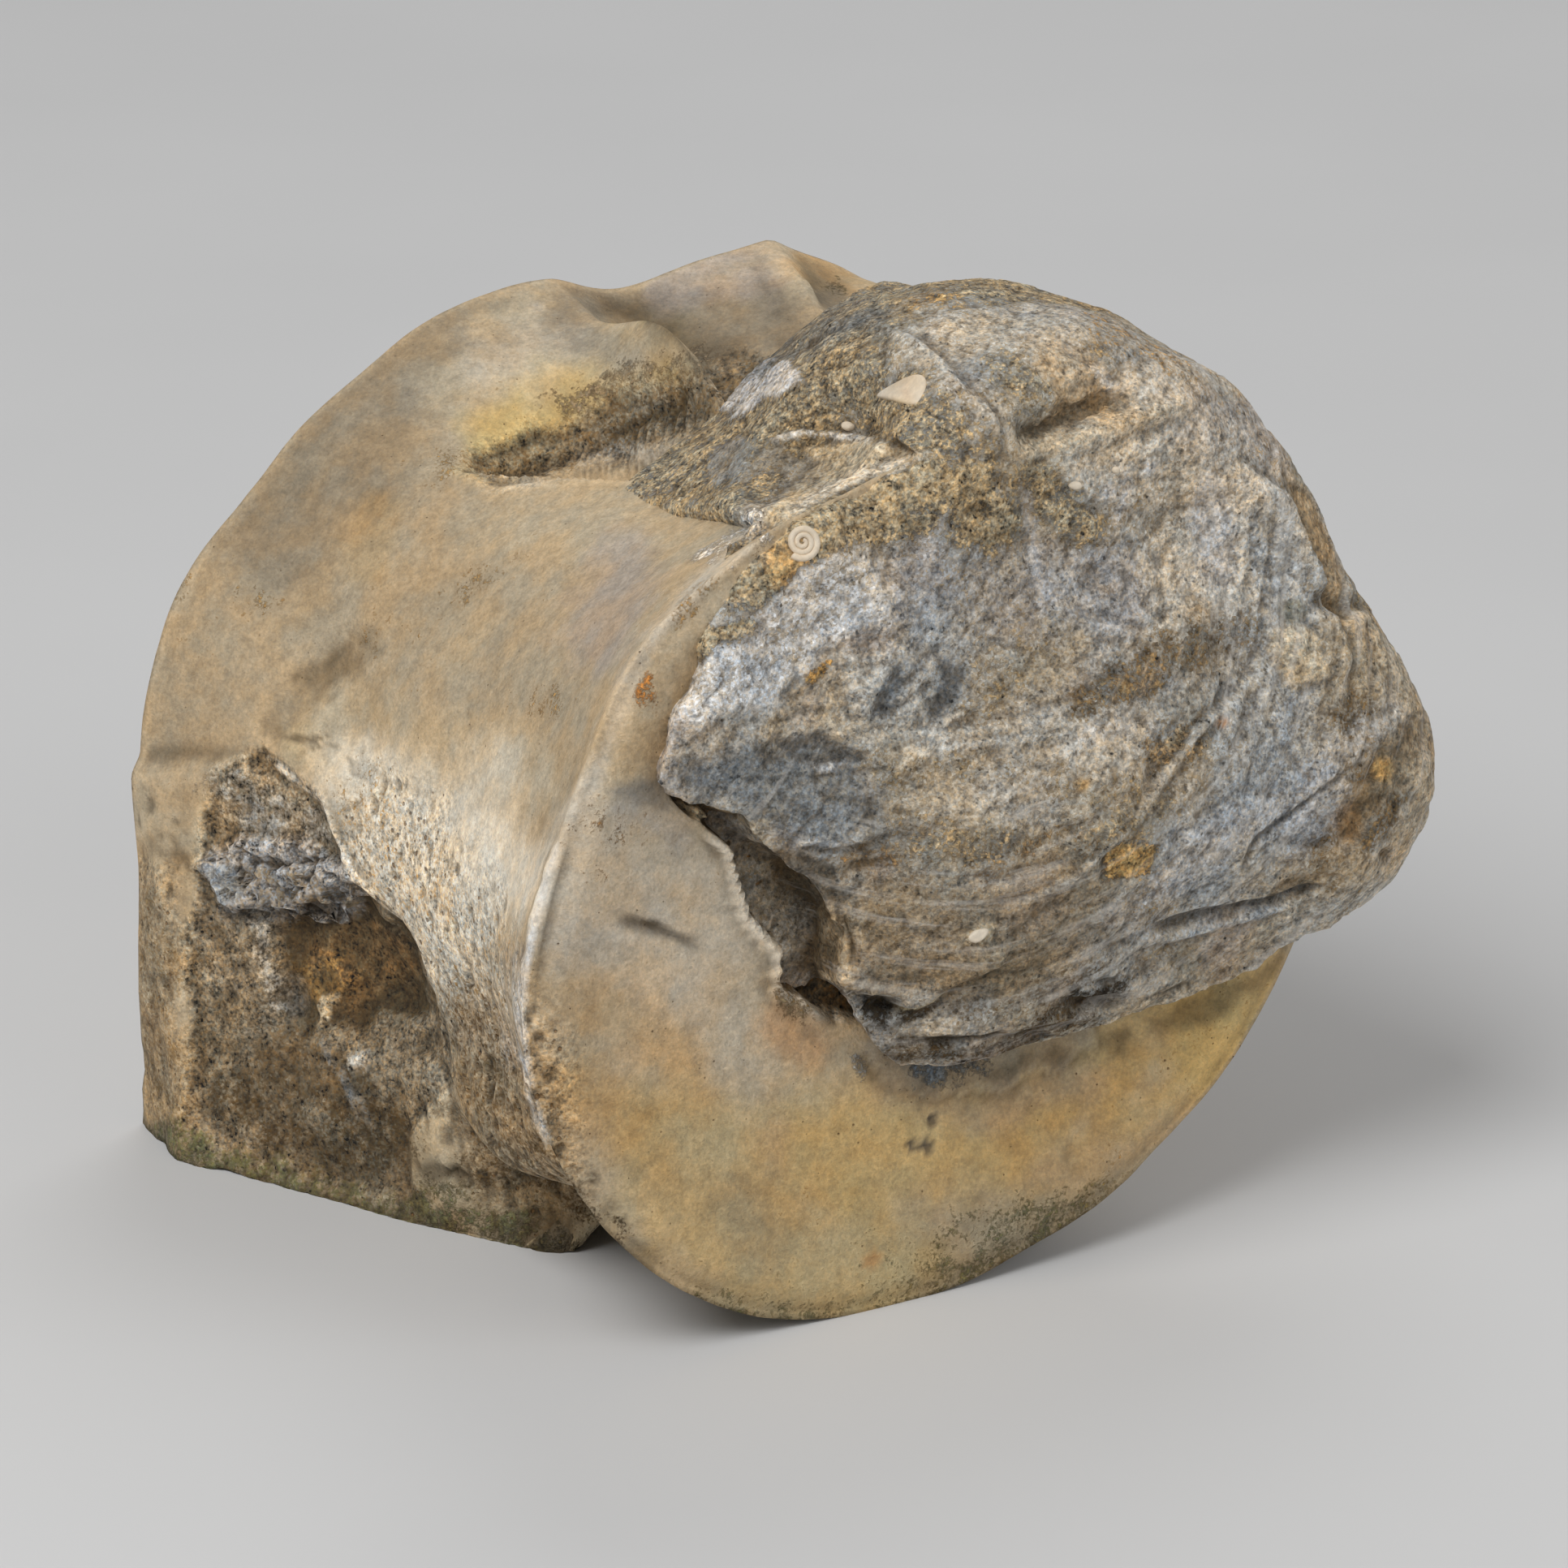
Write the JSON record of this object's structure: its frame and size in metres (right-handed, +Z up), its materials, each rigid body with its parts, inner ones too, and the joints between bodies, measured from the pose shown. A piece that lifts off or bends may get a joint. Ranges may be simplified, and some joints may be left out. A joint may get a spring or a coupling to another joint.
{
  "type": "fossil plesiosaur vertebra",
  "caption": "Waisted drum-shaped fossil vertebra body lying on its side, one end covered by a lump of cemented sandy rock, for display or study.",
  "frame": {"origin": "bottom centre of the box round the whole object, on the plane it rests on", "axes": "+Z up as it lies; +X along its longest extent, to the right when the rock-covered end is seen; the bone's own axis is nearly level and points forward and to the right, at 60 degrees from +X towards -Y"},
  "size_m": [0.1008, 0.087, 0.0718],
  "materials": {
    "fossil_bone": "smooth matt mineralised bone, cream to ochre",
    "sandy_rock": "rough cemented sand and layered shell, blue-grey to brown"
  },
  "bodies": {
    "root": {"vertebra": "fossil_bone", "matrix": "sandy_rock"}
  },
  "joints": []
}
